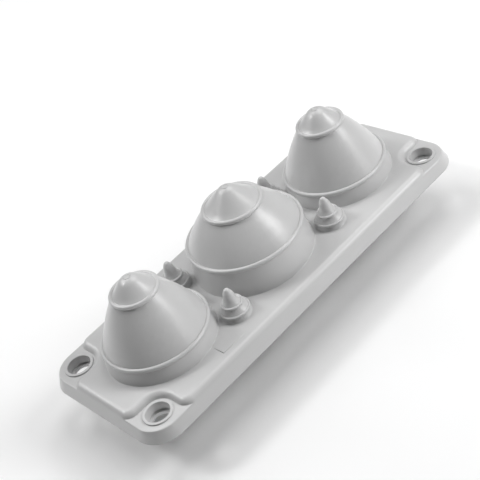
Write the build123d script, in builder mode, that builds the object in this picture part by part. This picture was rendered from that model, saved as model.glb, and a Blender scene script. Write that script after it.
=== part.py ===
from build123d import *
import os
from math import acos, atan2, cos, degrees, hypot, radians, sin, sqrt, tan

# Cable entry plate: a soft shell with three stepped membranes and four small nipples on its front,
# and an inner plate with open sleeves that seats inside the shell's skirt.
# The origin is at the middle of the rim plane, where the shell meets the wall of an enclosure.
# X runs along the plate, Z points out of the front. All sizes are in millimetres and degrees.

# Outline
plate_length = 250.0
plate_width = 101.0
corner_radius = 17.0
skirt_draft = 22.0
pad_height = 6.9
deck_height = 10.0
deck_edge_radius = 4.5
pad_edge_radius = 1.0

# Mounting holes and the raised lips around them
hole_margin = 15.5
shell_hole_radius = 6.8
plate_hole_radius = 5.4
lip_wall = 1.66
lip_height = 0.7
boss_wall = 2.0

# Curved wall between each corner pad and the deck, as it stands at pad height
pad_wall_gap = 1.1
lobe_radius = 6.4
lobe_setback = 16.0

# Walls of the shell
deck_wall = 2.0
rim_wall = 2.2
ledge_width = 1.1
membrane_wall = 1.6
nipple_wall = 1.4

# Membranes
membrane_pitch = 74.7
bead_radius = 0.7

side_foot_radius = 32.6
side_step_radius = 30.4
side_step_height = 20.1
side_neck_radius = 12.9
side_neck_height = 48.1
side_tip_height = 57.8
side_tip_radius = 8.5

middle_foot_radius = 35.9
middle_step_radius = 34.4
middle_step_height = 28.5
middle_neck_radius = 16.55
middle_neck_height = 47.4
middle_tip_height = 59.3
middle_tip_radius = 8.0

# Small stepped nipples between the membranes
nipple_offset = 2.15
nipple_gap = 2.0
nipple_foot_radius = 9.0
nipple_step_radius = 8.6
nipple_step_height = 13.4
nipple_neck_radius = 7.0
nipple_neck_height = 19.4
nipple_tip_height = 27.7
nipple_tip_radius = 1.9
nipple_bead_radius = 0.5

# Inner plate, whose sheet lies flush with the rim
sheet_thickness = 2.0
plate_clearance = 0.3

# Large sleeves of the inner plate
sleeve_length = 26.5
sleeve_wall = 1.2
sleeve_draft = 5.0
side_mouth_radius = 13.5
middle_mouth_radius = 17.2
flare_radius = 37.0
flare_angle = 15.0
flare_wall_step = 1.0
root_bevel = 7.0

# Small sleeves of the inner plate
small_sleeve_length = 15.5
small_sleeve_wall = 1.0
small_mouth_radius = 5.0
small_flare_radius = 12.0
small_flare_angle = 40.0

# Vent holes around the flares at the two ends
vent_radius = 1.75
vent_circle_radius = 39.2
vent_angles = (0.0, 51.0, -51.0, 107.0, -107.0)

# Places and heights that follow from the sizes above
hole_x = plate_length / 2 - hole_margin
hole_y = plate_width / 2 - hole_margin
hole_places = [(x, y) for x in (-hole_x, hole_x) for y in (-hole_y, hole_y)]
draft_ratio = tan(radians(skirt_draft))
lip_radius = shell_hole_radius + lip_wall
nipple_x = membrane_pitch / 2 + nipple_offset
nipple_reach = middle_foot_radius + nipple_foot_radius + nipple_gap
nipple_y = sqrt(nipple_reach**2 - nipple_x**2)
nipple_places = [(x, y) for x in (-nipple_x, nipple_x) for y in (-nipple_y, nipple_y)]
side_places = [(-membrane_pitch, 0), (membrane_pitch, 0)]
deck_underside = deck_height - deck_wall
pad_underside = pad_height - deck_wall
funnel_radius = flare_radius - flare_wall_step
small_funnel_radius = small_flare_radius - flare_wall_step
vent_places = [
    (
        side * (membrane_pitch + vent_circle_radius * cos(radians(angle))),
        vent_circle_radius * sin(radians(angle)),
    )
    for side in (-1, 1)
    for angle in vent_angles
]

# Insets from the rim outline, measured level, of the shell's inner faces and of the inner plate
seat_inset = rim_wall + sheet_thickness * draft_ratio
cavity_inset = seat_inset + ledge_width
plate_inset = seat_inset + plate_clearance


# Rounded rectangle of the plate, moved in from the rim outline by an inset
def plate_outline(inset):
    return RectangleRounded(plate_length - 2 * inset, plate_width - 2 * inset, corner_radius - inset)


# One quarter of the deck's outline at rim level, moved in by an inset, drawn from the middle of the
# short side to the middle of the long side: lobe, shoulder, hollow around the hole, shoulder, lobe
def deck_quarter(inset):
    lobe = lobe_radius + pad_height * draft_ratio - inset
    hollow = lip_radius + pad_wall_gap - pad_height * draft_ratio + inset
    edge = hole_margin - inset
    centre_x = edge - lobe
    centre_y = -lobe_setback
    aim = atan2(centre_y, centre_x) - acos((hollow + lobe) / hypot(centre_x, centre_y))
    bulge = (aim + radians(180)) / 2
    hollow_end = (hollow * cos(aim), hollow * sin(aim))
    hollow_middle = (-hollow * sin(radians(45)), -hollow * sin(radians(45)))
    lobe_end = (centre_x - lobe * cos(aim), centre_y - lobe * sin(aim))
    lobe_middle = (centre_x + lobe * cos(bulge), centre_y + lobe * sin(bulge))
    lobe_start = (edge, centre_y)

    def beside_short_side(point):
        return (hole_x + point[0], hole_y + point[1])

    def beside_long_side(point):
        return (hole_x + point[1], hole_y + point[0])

    Line((hole_x + edge, 0), beside_short_side(lobe_start))
    ThreePointArc(*[beside_short_side(point) for point in (lobe_start, lobe_middle, lobe_end)])
    Line(beside_short_side(lobe_end), beside_short_side(hollow_end))
    ThreePointArc(
        beside_short_side(hollow_end),
        beside_short_side(hollow_middle),
        beside_long_side(hollow_end),
    )
    Line(beside_long_side(hollow_end), beside_long_side(lobe_end))
    ThreePointArc(*[beside_long_side(point) for point in (lobe_end, lobe_middle, lobe_start)])
    Line(beside_long_side(lobe_start), (0, hole_y + edge))


# Half section of a stepped membrane or nipple with a round cap, drawn beside the Z axis
def stepped_section(foot, step, neck, tip, tip_radius):
    centre = tip - tip_radius
    rise = atan2(neck[1] - centre, neck[0]) + acos(tip_radius / hypot(neck[0], neck[1] - centre))
    cap_start = (tip_radius * cos(rise), centre + tip_radius * sin(rise))
    Polyline((0, deck_underside), (foot, deck_underside), (foot, deck_height), step, neck, cap_start)
    CenterArc((0, centre), tip_radius, degrees(rise), 90 - degrees(rise))
    Line((0, tip), (0, deck_underside))


# Closed membrane or nipple with a ridge, as proud as the bead, round each of its two steps
def stepped_body(foot, step, neck, tip, tip_radius, bead):
    with BuildPart() as body:
        with BuildSketch(Plane.XZ):
            with BuildLine():
                stepped_section(foot, step, neck, tip, tip_radius)
            make_face()
            with Locations(step, neck):
                Polygon((bead, 0), (-2 * bead, 1.5 * bead), (-2 * bead, -1.5 * bead), align=None)
        revolve(axis=Axis.Z)
    return body.part


# Form turned about the Z axis, given the points of its side from one flat end to the other
def turned(*side_points):
    with BuildPart() as form:
        with BuildSketch(Plane.XZ):
            with BuildLine():
                Polyline((0, side_points[0][1]), *side_points, (0, side_points[-1][1]), close=True)
            make_face()
        revolve(axis=Axis.Z)
    return form.part


# Point in half section where a sleeve's drafted wall meets the slope of its flare
def sleeve_corner(mouth, length, flare, angle, level):
    slope = tan(radians(angle))
    taper = tan(radians(sleeve_draft))
    corner_x = (mouth + (level + length - flare * slope) * taper) / (1 - slope * taper)
    return (corner_x, level - (flare - corner_x) * slope)


# The two points that a bevel leaves of that corner on a large sleeve
def bevelled_root(mouth, flare, level, bevel):
    x, z = sleeve_corner(mouth, sleeve_length, flare, flare_angle, level)
    on_sleeve = (x - bevel * sin(radians(sleeve_draft)), z - bevel * cos(radians(sleeve_draft)))
    on_flare = (x + bevel * cos(radians(flare_angle)), z + bevel * sin(radians(flare_angle)))
    return (on_sleeve, on_flare)


# Large sleeve with its flare, filled to its axis, from its mouth up to the top of the sheet
def large_sleeve(mouth):
    root = bevelled_root(mouth, flare_radius, 0, root_bevel)
    return turned((mouth, -sleeve_length), *root, (flare_radius, 0), (flare_radius, sheet_thickness))


# Passage that leaves the walls of a large sleeve and of its flare
def large_passage(mouth):
    bore = mouth - sleeve_wall
    root = bevelled_root(bore, funnel_radius, sheet_thickness, root_bevel + sleeve_wall)
    return turned((bore, -sleeve_length), *root, (funnel_radius, sheet_thickness))


side_membrane = stepped_body(
    side_foot_radius,
    (side_step_radius, side_step_height),
    (side_neck_radius, side_neck_height),
    side_tip_height,
    side_tip_radius,
    bead_radius,
)
side_hollow = turned(
    (side_foot_radius - membrane_wall, deck_underside),
    (side_step_radius - membrane_wall, side_step_height),
    (side_neck_radius - membrane_wall, side_neck_height),
)
middle_membrane = stepped_body(
    middle_foot_radius,
    (middle_step_radius, middle_step_height),
    (middle_neck_radius, middle_neck_height),
    middle_tip_height,
    middle_tip_radius,
    bead_radius,
)
middle_hollow = turned(
    (middle_foot_radius - membrane_wall, deck_underside),
    (middle_step_radius - membrane_wall, middle_step_height),
    (middle_neck_radius - membrane_wall, middle_neck_height),
)
nipple = stepped_body(
    nipple_foot_radius,
    (nipple_step_radius, nipple_step_height),
    (nipple_neck_radius, nipple_neck_height),
    nipple_tip_height,
    nipple_tip_radius,
    nipple_bead_radius,
)
nipple_hollow = turned(
    (nipple_foot_radius - nipple_wall, deck_underside),
    (nipple_neck_radius - nipple_wall, nipple_neck_height),
)
side_sleeve = large_sleeve(side_mouth_radius)
side_passage = large_passage(side_mouth_radius)
middle_sleeve = large_sleeve(middle_mouth_radius)
middle_passage = large_passage(middle_mouth_radius)
small_sleeve = turned(
    (small_mouth_radius, -small_sleeve_length),
    sleeve_corner(small_mouth_radius, small_sleeve_length, small_flare_radius, small_flare_angle, 0),
    (small_flare_radius, 0),
    (small_flare_radius, sheet_thickness),
)
small_bore = small_mouth_radius - small_sleeve_wall
small_passage = turned(
    (small_bore, -small_sleeve_length),
    sleeve_corner(small_bore, small_sleeve_length, small_funnel_radius, small_flare_angle, sheet_thickness),
    (small_funnel_radius, sheet_thickness),
)

# Raised deck with a large rounding along its upper edge, running down to the rim
with BuildPart() as deck:
    with BuildSketch():
        with BuildLine():
            deck_quarter(0)
            mirror(about=Plane.YZ)
            mirror(about=Plane.XZ)
        make_face()
    extrude(amount=deck_height, taper=skirt_draft)
    fillet(deck.faces().sort_by(Axis.Z)[-1].edges(), deck_edge_radius)

# Soft outer shell with skirt, corner pads, deck, closed membranes and nipples, moulded in one piece
with BuildPart() as membrane_shell:
    with BuildSketch():
        plate_outline(0)
    extrude(amount=pad_height, taper=skirt_draft)
    fillet(membrane_shell.faces().sort_by(Axis.Z)[-1].edges(), pad_edge_radius)
    add(deck.part)
    with Locations(*[(x, y, pad_height) for x, y in hole_places]):
        Cylinder(lip_radius, lip_height, align=(Align.CENTER, Align.CENTER, Align.MIN))
    # Seat for the inner plate, open at the rim, and the hollow above it
    with BuildSketch():
        plate_outline(rim_wall)
    extrude(amount=sheet_thickness, taper=skirt_draft, mode=Mode.SUBTRACT)
    with BuildSketch(Plane.XY.offset(sheet_thickness)):
        plate_outline(cavity_inset)
    extrude(amount=pad_underside - sheet_thickness, taper=skirt_draft, mode=Mode.SUBTRACT)
    with BuildSketch(Plane.XY.offset(sheet_thickness)):
        with BuildLine():
            deck_quarter(cavity_inset)
            mirror(about=Plane.YZ)
            mirror(about=Plane.XZ)
        make_face()
    extrude(amount=deck_underside - sheet_thickness, taper=skirt_draft, mode=Mode.SUBTRACT)
    # Bosses that carry the corners down to the inner plate, and the holes through them
    with Locations(*[(x, y, sheet_thickness) for x, y in hole_places]):
        Cylinder(
            shell_hole_radius + boss_wall,
            pad_underside - sheet_thickness,
            align=(Align.CENTER, Align.CENTER, Align.MIN),
        )
    with Locations(*hole_places):
        Cylinder(
            shell_hole_radius,
            pad_height + lip_height,
            align=(Align.CENTER, Align.CENTER, Align.MIN),
            mode=Mode.SUBTRACT,
        )
    # Membranes and nipples, hollow from below
    with Locations(*side_places):
        add(side_membrane)
    add(middle_membrane)
    with Locations(*nipple_places):
        add(nipple)
        add(nipple_hollow, mode=Mode.SUBTRACT)
    with Locations(*side_places):
        add(side_hollow, mode=Mode.SUBTRACT)
    add(middle_hollow, mode=Mode.SUBTRACT)

# Inner plate with three large and four small open sleeves, moulded in one piece
with BuildPart() as sleeve_plate:
    with BuildSketch():
        plate_outline(plate_inset)
    extrude(amount=sheet_thickness)
    with Locations(*side_places):
        add(side_sleeve)
    add(middle_sleeve)
    with Locations(*nipple_places):
        add(small_sleeve)
    # Open each sleeve from the top of the sheet through its mouth
    with Locations(*side_places):
        add(side_passage, mode=Mode.SUBTRACT)
    add(middle_passage, mode=Mode.SUBTRACT)
    with Locations(*nipple_places):
        add(small_passage, mode=Mode.SUBTRACT)
    # Screw holes in line with the shell's, and the vent holes around the flares at the two ends
    with Locations(*hole_places):
        Cylinder(
            plate_hole_radius,
            sheet_thickness,
            align=(Align.CENTER, Align.CENTER, Align.MIN),
            mode=Mode.SUBTRACT,
        )
    with Locations(*vent_places):
        Cylinder(
            vent_radius,
            sheet_thickness,
            align=(Align.CENTER, Align.CENTER, Align.MIN),
            mode=Mode.SUBTRACT,
        )

membrane_shell.part.label = "membrane_shell"
sleeve_plate.part.label = "sleeve_plate"

os.makedirs("parts", exist_ok=True)
export_step(membrane_shell.part, "parts/membrane_shell.step")
export_step(sleeve_plate.part, "parts/sleeve_plate.step")
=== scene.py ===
from math import cos, hypot, radians, sin

import bmesh
import bpy
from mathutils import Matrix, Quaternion, Vector


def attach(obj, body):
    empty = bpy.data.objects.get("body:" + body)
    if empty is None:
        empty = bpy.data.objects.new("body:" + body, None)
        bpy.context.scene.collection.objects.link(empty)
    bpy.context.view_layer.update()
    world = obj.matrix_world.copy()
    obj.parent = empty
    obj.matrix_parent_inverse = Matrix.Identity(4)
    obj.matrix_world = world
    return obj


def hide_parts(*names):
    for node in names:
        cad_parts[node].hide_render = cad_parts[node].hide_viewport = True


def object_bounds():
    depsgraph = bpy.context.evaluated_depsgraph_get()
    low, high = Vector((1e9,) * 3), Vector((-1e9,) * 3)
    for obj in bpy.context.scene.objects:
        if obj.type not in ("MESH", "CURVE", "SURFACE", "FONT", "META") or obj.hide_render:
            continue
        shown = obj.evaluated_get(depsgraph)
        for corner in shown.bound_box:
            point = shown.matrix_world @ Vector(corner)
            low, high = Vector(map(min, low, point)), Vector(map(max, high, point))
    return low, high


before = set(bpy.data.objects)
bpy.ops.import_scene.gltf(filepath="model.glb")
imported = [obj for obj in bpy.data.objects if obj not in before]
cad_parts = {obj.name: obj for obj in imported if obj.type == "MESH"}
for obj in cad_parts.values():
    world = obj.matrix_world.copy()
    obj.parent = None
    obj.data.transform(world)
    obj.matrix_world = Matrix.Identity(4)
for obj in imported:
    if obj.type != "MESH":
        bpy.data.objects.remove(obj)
cad_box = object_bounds()

# Camera: a long lens that looks down on the near left corner, turned about its own line of sight,
# so that the plate climbs from the lower left to the upper right of the picture.
CAMERA_PLACE = Vector((-0.2560, -0.4327, 0.3896))
CAMERA_AIM = Vector((0.01185, 0.02855, 0.0))
CAMERA_ROLL = 23.94
CAMERA_LENS = 83.84
SENSOR_WIDTH = 36.0

bpy.ops.object.select_all(action="DESELECT")
bpy.ops.object.camera_add(location=CAMERA_PLACE)
camera = bpy.context.object
camera.name = "camera"
camera.data.lens = CAMERA_LENS
camera.data.sensor_width = SENSOR_WIDTH
line_of_sight = (CAMERA_AIM - CAMERA_PLACE).to_track_quat("-Z", "Y")
camera.rotation_mode = "QUATERNION"
camera.rotation_quaternion = line_of_sight @ Quaternion((0, 0, 1), radians(-CAMERA_ROLL))
bpy.context.scene.camera = camera
bpy.context.scene.view_settings.view_transform = "Standard"


# Shader maths is written with sockets as plain values. A Shade wraps one socket of one node tree.
class Shade:
    def __init__(self, tree, socket=None):
        self.tree = tree
        self.socket = socket

    def node(self, kind, settings=None, inputs=None, output=0):
        made = self.tree.nodes.new(kind)
        for name, value in (settings or {}).items():
            setattr(made, name, value)
        for name, value in (inputs or {}).items():
            if isinstance(value, Shade):
                self.tree.links.new(value.socket, made.inputs[name])
            else:
                made.inputs[name].default_value = value
        return Shade(self.tree, made.outputs[output])

    def maths(self, operation, first, second):
        return self.node("ShaderNodeMath", {"operation": operation}, {0: first, 1: second})

    def __add__(self, other):
        return self.maths("ADD", self, other)

    def __radd__(self, other):
        return self.maths("ADD", other, self)

    def __sub__(self, other):
        return self.maths("SUBTRACT", self, other)

    def __rsub__(self, other):
        return self.maths("SUBTRACT", other, self)

    def __mul__(self, other):
        return self.maths("MULTIPLY", self, other)

    def __rmul__(self, other):
        return self.maths("MULTIPLY", other, self)


# Soft grey thermoplastic rubber, moulded: nearly even in colour, satin, with a faint cloudiness and
# the very fine grain that the mould's eroded face leaves on it. Edges and corners are slightly round.
# Lengths are in metres, and a relief is a height in metres along the surface's own direction.
GREY = (0.56, 0.56, 0.56)
CLOUD_SCALE = 22.0
CLOUD_DETAIL = 3.0
LIGHTEST = 1.04
DARKEST = 0.965
SATIN = 0.32
SATIN_SPREAD = 0.10
GRAIN_SCALE = 1800.0
GRAIN_DETAIL = 2.0
GRAIN_HEIGHT = 0.000004
EDGE_ROUNDING = 0.0006
ROUNDING_SAMPLES = 8
SHEEN_WEIGHT = 0.36
SHEEN_ROUGHNESS = 0.28


def moulded_rubber(name, tint, relief):
    material = bpy.data.materials.new(name)
    material.use_nodes = True
    tree = material.node_tree
    shader = tree.nodes["Principled BSDF"]
    start = Shade(tree)
    place = start.node("ShaderNodeTexCoord", output="Object")
    cloud = start.node(
        "ShaderNodeTexNoise", inputs={"Vector": place, "Scale": CLOUD_SCALE, "Detail": CLOUD_DETAIL}
    )
    grain = start.node(
        "ShaderNodeTexNoise", inputs={"Vector": place, "Scale": GRAIN_SCALE, "Detail": GRAIN_DETAIL}
    )
    light = tuple(channel * tint * LIGHTEST for channel in GREY) + (1.0,)
    dark = tuple(channel * tint * DARKEST for channel in GREY) + (1.0,)
    colour = start.node("ShaderNodeMix", {"data_type": "RGBA"}, {0: cloud, 6: dark, 7: light}, output=2)
    roughness = SATIN + SATIN_SPREAD * cloud
    rounded = start.node("ShaderNodeBevel", {"samples": ROUNDING_SAMPLES}, {"Radius": EDGE_ROUNDING})
    bump = start.node(
        "ShaderNodeBump",
        inputs={"Distance": 1.0, "Height": grain * GRAIN_HEIGHT + relief(place), "Normal": rounded},
    )
    shader.inputs["Coat Weight"].default_value = SHEEN_WEIGHT
    shader.inputs["Coat Roughness"].default_value = SHEEN_ROUGHNESS
    tree.links.new(colour.socket, shader.inputs["Base Color"])
    tree.links.new(roughness.socket, shader.inputs["Roughness"])
    tree.links.new(bump.socket, shader.inputs["Normal"])
    return material


# Outer shell: skirt, corner pads, deck, membranes and nipples, all closed, injection moulded in one
# piece of soft rubber. The membranes' flanks bulge slightly, and the nipples are drawn in at each
# step. The mould leaves a low bare field beside the first nipple, highest at its near left corner.
MEMBRANE_PITCH = 0.0747
MEMBRANE_FOOT = 0.0108
FLANK_CUTS = 10
SIDE_REACH = 0.0330
SIDE_FLANK = {"step": 0.0201, "neck": 0.0481, "drop": 0.0010, "shrink": 0.0005, "bulge": 0.0013}
MIDDLE_REACH = 0.0363
MIDDLE_FLANK = {"step": 0.0285, "neck": 0.0474, "drop": 0.0010, "shrink": 0.0012, "bulge": 0.0012}
NIPPLE_PLACE = (0.0395, 0.02528)
NIPPLE_REACH = 0.0098
# Each row of the waist is a height, the share of the radius that is kept there, and how far it drops
NIPPLE_WAIST = (
    (0.0103, 1.0, 0.0), (0.0109, 0.94, 0.0), (0.0118, 0.915, 0.0), (0.0126, 0.91, 0.0),
    (0.0131, 0.95, 0.0), (0.0134, 0.96, 0.0), (0.0139, 0.93, 0.0), (0.0150, 0.875, 0.0003),
    (0.0168, 0.81, 0.0009), (0.0185, 0.755, 0.0014), (0.0191, 0.78, 0.0016), (0.0194, 0.8, 0.0016),
    (0.0198, 0.75, 0.0016), (0.0205, 0.715, 0.0015), (0.0213, 0.705, 0.0013), (0.0222, 0.72, 0.0010),
    (0.0231, 0.77, 0.0007), (0.0240, 0.845, 0.0004), (0.0250, 0.93, 0.0002), (0.0262, 1.0, 0.0),
)
SMOOTH_ANGLE = 24.0
WELD = 0.000001
ON_AXIS = 0.00001
FIELD_CORNER = (-0.0647, -0.0410)
FIELD_FADE = (0.018, 0.009)
FIELD_HEIGHT = 0.0008
FIELD_EDGE = 0.0005
FIELD_LEVEL = 0.0098
FIELD_CEILING = 0.0196


def shell_relief(place):
    def up_to_one(value):
        return place.node("ShaderNodeClamp", inputs={"Value": value})

    x, y, z = [
        place.node("ShaderNodeSeparateXYZ", inputs={"Vector": place}, output=axis) for axis in (0, 1, 2)
    ]
    in_x, in_y = x - FIELD_CORNER[0], y - FIELD_CORNER[1]
    inside = up_to_one(place.maths("MINIMUM", in_x, in_y) * (1.0 / FIELD_EDGE))
    fading = up_to_one(1.0 - in_x * (1.0 / FIELD_FADE[0]))
    fading = fading * up_to_one(1.0 - in_y * (1.0 / FIELD_FADE[1]))
    on_deck = place.maths("GREATER_THAN", z, FIELD_LEVEL) * place.maths("LESS_THAN", z, FIELD_CEILING)
    return inside * fading * on_deck * FIELD_HEIGHT


# The CAD shell is copied and welded, the copy is reshaped, and it then stands for the CAD shell
bpy.ops.object.select_all(action="DESELECT")
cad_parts["membrane_shell"].select_set(True)
bpy.context.view_layer.objects.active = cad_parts["membrane_shell"]
bpy.ops.object.duplicate()
shell = bpy.context.object
shell.name = "shell_skin"
bpy.ops.object.mode_set(mode="EDIT")
bpy.ops.mesh.select_all(action="SELECT")
bpy.ops.mesh.remove_doubles(threshold=WELD)
bpy.ops.mesh.customdata_custom_splitnormals_clear()


# Every face within reach of an axis is cut at the given levels. Then each point is moved by its height
# and distance from its axis, on the outside and in the hollow alike, so that the wall stays whole.
def reshape(axes, reach, levels, moved):
    def off_axis(place):
        return min((hypot(place.x - x, place.y - y), x, y) for x, y in axes)

    for level in levels[1:-1]:
        bpy.ops.mesh.select_all(action="DESELECT")
        for face in bmesh.from_edit_mesh(shell.data).faces:
            middle = face.calc_center_median()
            face.select = levels[0] < middle.z < levels[-1] and off_axis(middle)[0] < reach
        bpy.ops.mesh.bisect(plane_co=(0, 0, level), plane_no=(0, 0, 1))
    for point in bmesh.from_edit_mesh(shell.data).verts:
        radius, x, y = off_axis(point.co)
        if levels[0] < point.co.z < levels[-1] and ON_AXIS < radius < reach:
            new_radius, point.co.z = moved(radius, point.co.z)
            share = new_radius / radius
            point.co.x = x + share * (point.co.x - x)
            point.co.y = y + share * (point.co.y - y)
    bmesh.update_edit_mesh(shell.data)


# The lower step goes down by drop and in by shrink, and both fade out towards the foot and the neck.
# The flank between step and neck bulges as a parabola, by the full bulge at half its height.
def ease_flank(axes, reach, step, neck, drop, shrink, bulge):
    def moved(radius, level):
        if level < step:
            part = (level - MEMBRANE_FOOT) / (step - MEMBRANE_FOOT)
            return radius - shrink * part, level - drop * part
        part = (neck - level) / (neck - step)
        return radius - shrink * part + 4.0 * bulge * part * (1.0 - part), level - drop * part

    flank = [step + (neck - step) * cut / FLANK_CUTS for cut in range(1, FLANK_CUTS + 1)]
    reshape(axes, reach, [MEMBRANE_FOOT] + flank, moved)


# A nipple's radius and height between two rows of the waist, which follow in straight lines
def waisted(radius, level):
    for low, high in zip(NIPPLE_WAIST, NIPPLE_WAIST[1:]):
        if low[0] <= level < high[0]:
            part = (level - low[0]) / (high[0] - low[0])
            share, drop = [low[k] + (high[k] - low[k]) * part for k in (1, 2)]
            return radius * share, level - drop
    return radius, level


side_axes = [(side * MEMBRANE_PITCH, 0.0) for side in (-1, 1)]
ease_flank(side_axes, SIDE_REACH, **SIDE_FLANK)
ease_flank([(0.0, 0.0)], MIDDLE_REACH, **MIDDLE_FLANK)
nipple_axes = [(side * NIPPLE_PLACE[0], row * NIPPLE_PLACE[1]) for side in (-1, 1) for row in (-1, 1)]
reshape(nipple_axes, NIPPLE_REACH, [row[0] for row in NIPPLE_WAIST], waisted)
bpy.ops.object.mode_set(mode="OBJECT")
bpy.ops.object.shade_smooth_by_angle(angle=radians(SMOOTH_ANGLE))
shell.data.materials.clear()
shell.data.materials.append(moulded_rubber("soft_shell_rubber", 1.0, shell_relief))
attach(shell, "root")
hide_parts("membrane_shell")

# Beads: a round bead stands proud round each step of the membranes and nipples, and the mould's gate
# leaves a small fine ring on each membrane's tip. They are part of the shell's moulding and have its
# finish. Each is a small circle spun about the axis of its membrane, by a radius and a height.
SIDE_STEPS = ((0.0301, 0.0191), (0.0131, 0.0481))
MIDDLE_STEPS = ((0.0334, 0.0275), (0.01675, 0.0474))
NIPPLE_STEPS = ((0.0081, 0.0134), (0.0056, 0.0177))
GATE_RADIUS = 0.00175
SIDE_GATE_LEVEL = 0.05755
MIDDLE_GATE_LEVEL = 0.05905
GATE_RING = 0.00025
MEMBRANE_BEAD = 0.00125
NIPPLE_BEAD = 0.0007
BEAD_SIDES = 16
BEAD_TURNS = {MEMBRANE_BEAD: 160, NIPPLE_BEAD: 72, GATE_RING: 36}


def spin_bead(centre, radius, level, thickness):
    bpy.ops.object.select_all(action="DESELECT")
    bpy.ops.mesh.primitive_circle_add(
        vertices=BEAD_SIDES,
        radius=thickness,
        location=(centre[0] + radius, centre[1], level),
        rotation=(radians(90), 0, 0),
    )
    bpy.ops.object.transform_apply(location=True, rotation=True)
    bpy.ops.object.mode_set(mode="EDIT")
    bpy.ops.mesh.select_all(action="SELECT")
    bpy.ops.mesh.spin(
        steps=BEAD_TURNS[thickness], angle=radians(360), center=(centre[0], centre[1], 0), axis=(0, 0, 1)
    )
    bpy.ops.mesh.select_all(action="SELECT")
    bpy.ops.mesh.remove_doubles(threshold=0.1 * thickness)
    bpy.ops.mesh.normals_make_consistent(inside=False)
    bpy.ops.object.mode_set(mode="OBJECT")
    bpy.ops.object.shade_smooth()
    return bpy.context.object


bead_rings = [spin_bead((0, 0), radius, level, MEMBRANE_BEAD) for radius, level in MIDDLE_STEPS]
bead_rings.append(spin_bead((0, 0), GATE_RADIUS, MIDDLE_GATE_LEVEL, GATE_RING))
for side in (-1, 1):
    bead_rings.append(spin_bead((side * MEMBRANE_PITCH, 0), GATE_RADIUS, SIDE_GATE_LEVEL, GATE_RING))
    for radius, level in SIDE_STEPS:
        bead_rings.append(spin_bead((side * MEMBRANE_PITCH, 0), radius, level, MEMBRANE_BEAD))
    for row in (-1, 1):
        for radius, level in NIPPLE_STEPS:
            place = (side * NIPPLE_PLACE[0], row * NIPPLE_PLACE[1])
            bead_rings.append(spin_bead(place, radius, level, NIPPLE_BEAD))
bpy.ops.object.select_all(action="DESELECT")
for ring in bead_rings:
    ring.select_set(True)
bpy.context.view_layer.objects.active = bead_rings[0]
bpy.ops.object.join()
beads = bpy.context.object
beads.name = "shell_beads"
beads.data.materials.append(shell.data.materials[0])
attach(beads, "root")

# Inner plate: the sheet that is seated in the shell's skirt, with three large and four small open
# sleeves on flared roots and the screw holes. It is injection moulded in one piece, of the same kind
# of rubber in a slightly darker grey.
PLATE_TINT = 0.97
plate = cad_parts["sleeve_plate"]
plate.data.materials.clear()
plate.data.materials.append(moulded_rubber("inner_plate_rubber", PLATE_TINT, lambda place: 0.0))

# Floor: a wide, plain, nearly white sheet with no gloss. The plate stands on it on the mouths of its
# three large sleeves.
FLOOR_SIZE = 12.0
FLOOR_WHITE = (0.93, 0.93, 0.93, 1.0)
FLOOR_ROUGHNESS = 0.9
bpy.ops.object.select_all(action="DESELECT")
bpy.ops.mesh.primitive_plane_add(size=FLOOR_SIZE, location=(0, 0, cad_box[0][2]))
floor = bpy.context.object
floor.name = "floor"
floor_finish = bpy.data.materials.new("floor_white")
floor_finish.use_nodes = True
floor_finish.node_tree.nodes["Principled BSDF"].inputs["Base Color"].default_value = FLOOR_WHITE
floor_finish.node_tree.nodes["Principled BSDF"].inputs["Roughness"].default_value = FLOOR_ROUGHNESS
floor.data.materials.append(floor_finish)


# Studio light: soft boxes that all face the plate. Each stands at a bearing round the plate from the
# X axis, at a height angle, and at a distance. A faint even white light comes from all round.
WORLD_STRENGTH = 0.03


def soft_box(name, bearing, rise, distance, size, power):
    level = cos(radians(rise))
    away = Vector((cos(radians(bearing)) * level, sin(radians(bearing)) * level, sin(radians(rise))))
    bpy.ops.object.light_add(type="AREA", location=away * distance)
    box = bpy.context.object
    box.name = name
    box.data.shape = "SQUARE"
    box.data.size = size
    box.data.energy = power
    box.rotation_mode = "QUATERNION"
    box.rotation_quaternion = away.to_track_quat("Z", "Y")


soft_box("back_left_box", 130.0, 48.0, 1.6, 0.35, 7.1)
soft_box("back_box", 105.0, 35.0, 1.6, 0.6, 4.4)
soft_box("high_back_box", 90.0, 62.0, 1.6, 0.6, 5.2)
soft_box("high_right_box", 0.0, 62.0, 1.6, 0.9, 9.9)
soft_box("right_box", -45.0, 35.0, 1.6, 0.6, 12.4)
soft_box("low_front_box", -60.0, 12.0, 1.6, 0.6, 3.0)
world = bpy.data.worlds.new("studio")
world.use_nodes = True
world.node_tree.nodes["Background"].inputs["Color"].default_value = (1.0, 1.0, 1.0, 1.0)
world.node_tree.nodes["Background"].inputs["Strength"].default_value = WORLD_STRENGTH
bpy.context.scene.world = world
